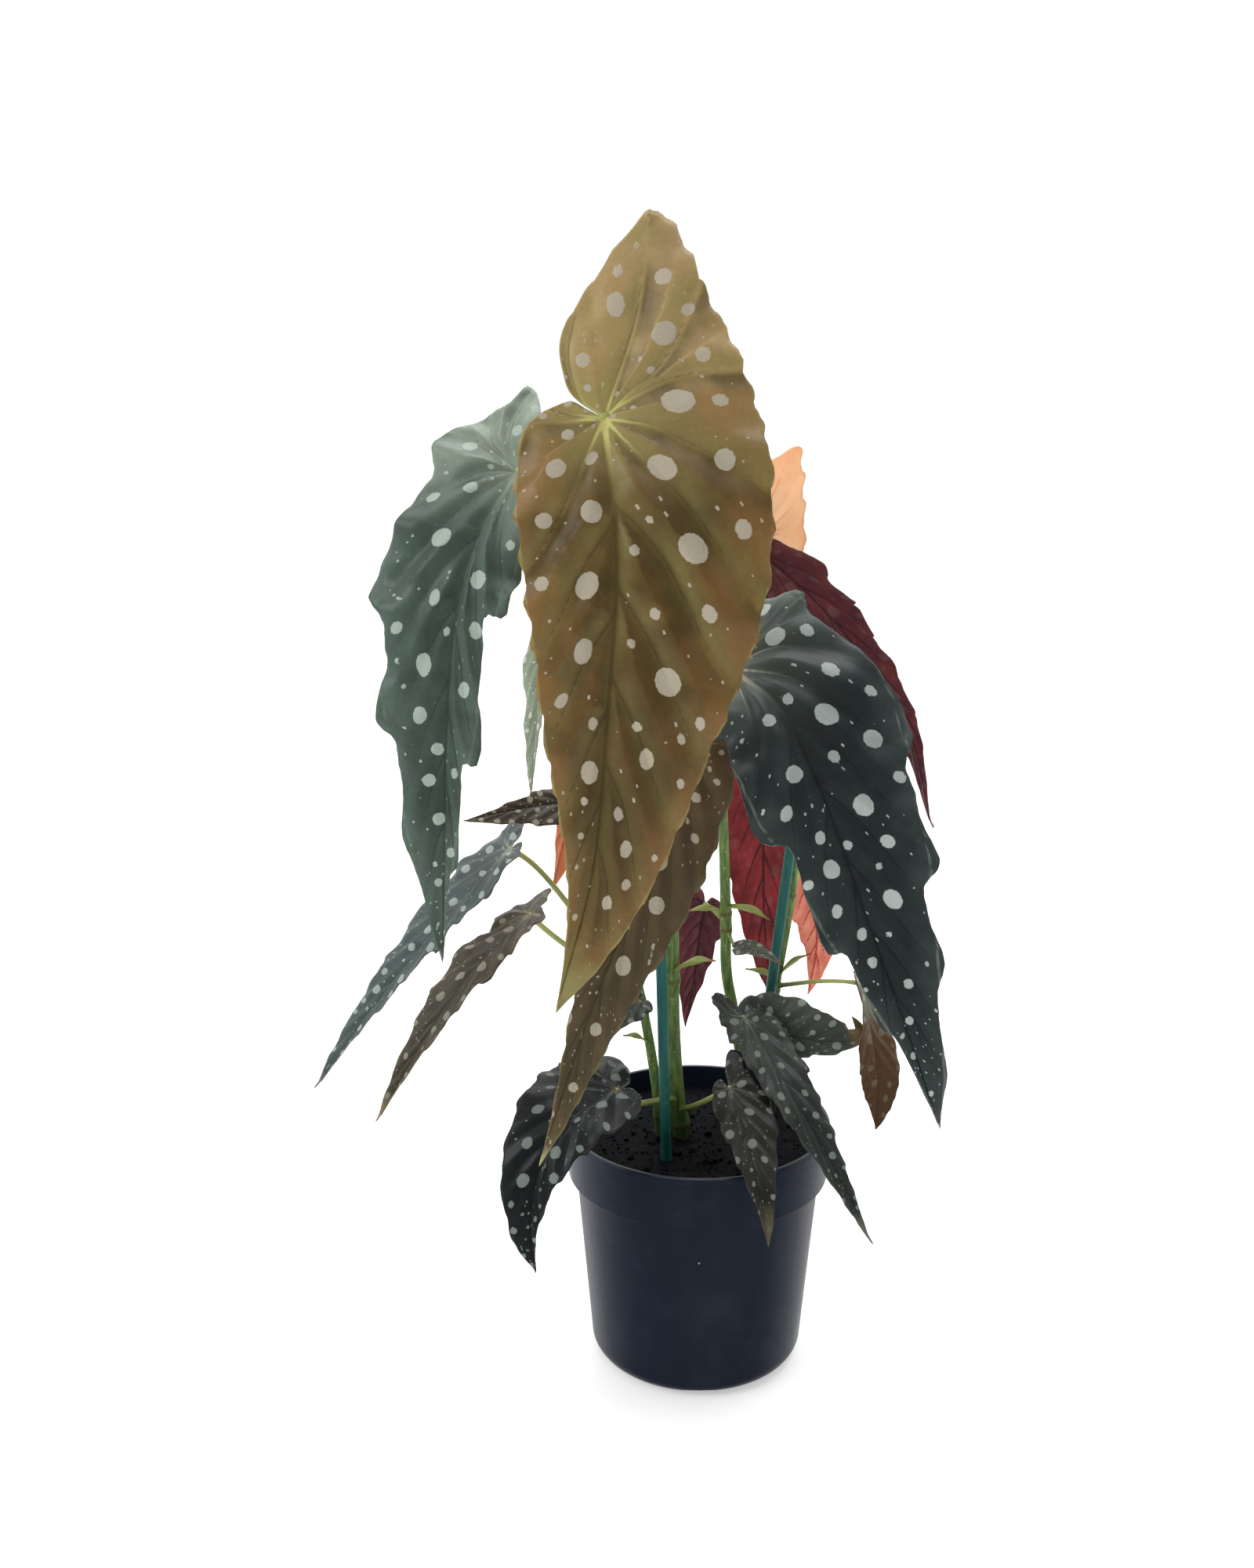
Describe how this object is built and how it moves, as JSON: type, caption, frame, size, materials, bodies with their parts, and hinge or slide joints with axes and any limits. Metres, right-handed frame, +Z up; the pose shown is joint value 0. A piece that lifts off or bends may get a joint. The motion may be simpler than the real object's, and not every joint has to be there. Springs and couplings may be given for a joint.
{
  "type": "potted polka dot begonia",
  "caption": "Cane begonia with spotted angel-wing leaves on jointed stems, held up by teal sticks in a round nursery pot full of soil.",
  "frame": {"origin": "centre of the pot's underside", "axes": "+Z up along the pot's axis, -Y towards the plant's front, +X to the right seen from the front"},
  "size_m": [0.2675, 0.2152, 0.4947],
  "materials": {
    "black_plastic": "moulded, satin",
    "peat": "loose, damp and dark",
    "cane_green": "fresh green stem, slightly waxy",
    "teal_paint": "satin coating",
    "bract_green": "thin, papery, brown at the tips",
    "leaf_olive": "waxy leaf with pale spots, wine-red underside",
    "leaf_brown": "waxy leaf with pale spots, wine-red underside",
    "leaf_grey_green": "waxy leaf with pale spots, wine-red underside",
    "leaf_dark_green": "waxy leaf with pale spots, wine-red underside",
    "leaf_peach": "waxy leaf with pale spots, wine-red underside",
    "leaf_maroon": "waxy leaf with pale spots, wine-red underside",
    "leaf_pale_green": "waxy leaf with pale spots, wine-red underside",
    "leaf_orange": "waxy leaf with pale spots, wine-red underside",
    "leaf_red": "waxy leaf with pale spots, wine-red underside"
  },
  "bodies": {
    "root": {"nursery_pot": "black_plastic", "potting_soil": "peat", "tall_cane": "cane_green", "left_cane": "cane_green", "middle_cane": "cane_green", "right_cane": "cane_green", "left_stick": "teal_paint", "right_stick": "teal_paint", "front_leaf": "leaf_olive", "front_lower_leaf": "leaf_brown", "left_leaf": "leaf_grey_green", "right_leaf": "leaf_dark_green", "back_young_leaf": "leaf_peach", "right_back_leaf": "leaf_maroon", "left_back_leaf": "leaf_pale_green", "left_small_leaf": "leaf_brown", "left_long_leaf": "leaf_grey_green", "left_brown_leaf": "leaf_brown", "back_left_leaf": "leaf_orange", "rim_left_leaf": "leaf_dark_green", "upper_rim_leaf": "leaf_dark_green", "rim_front_leaf": "leaf_dark_green", "rim_right_leaf": "leaf_dark_green", "curled_leaf": "leaf_grey_green", "right_hanging_leaf": "leaf_brown", "back_red_leaf": "leaf_red", "back_pink_leaf": "leaf_red", "back_purple_leaf": "leaf_maroon", "middle_small_leaf": "leaf_grey_green", "middle_bract_left": "bract_green", "middle_bract_right": "bract_green", "right_bract_left": "bract_green", "right_bract_upper": "bract_green", "tall_bract": "bract_green", "left_bract": "bract_green"}
  },
  "joints": []
}
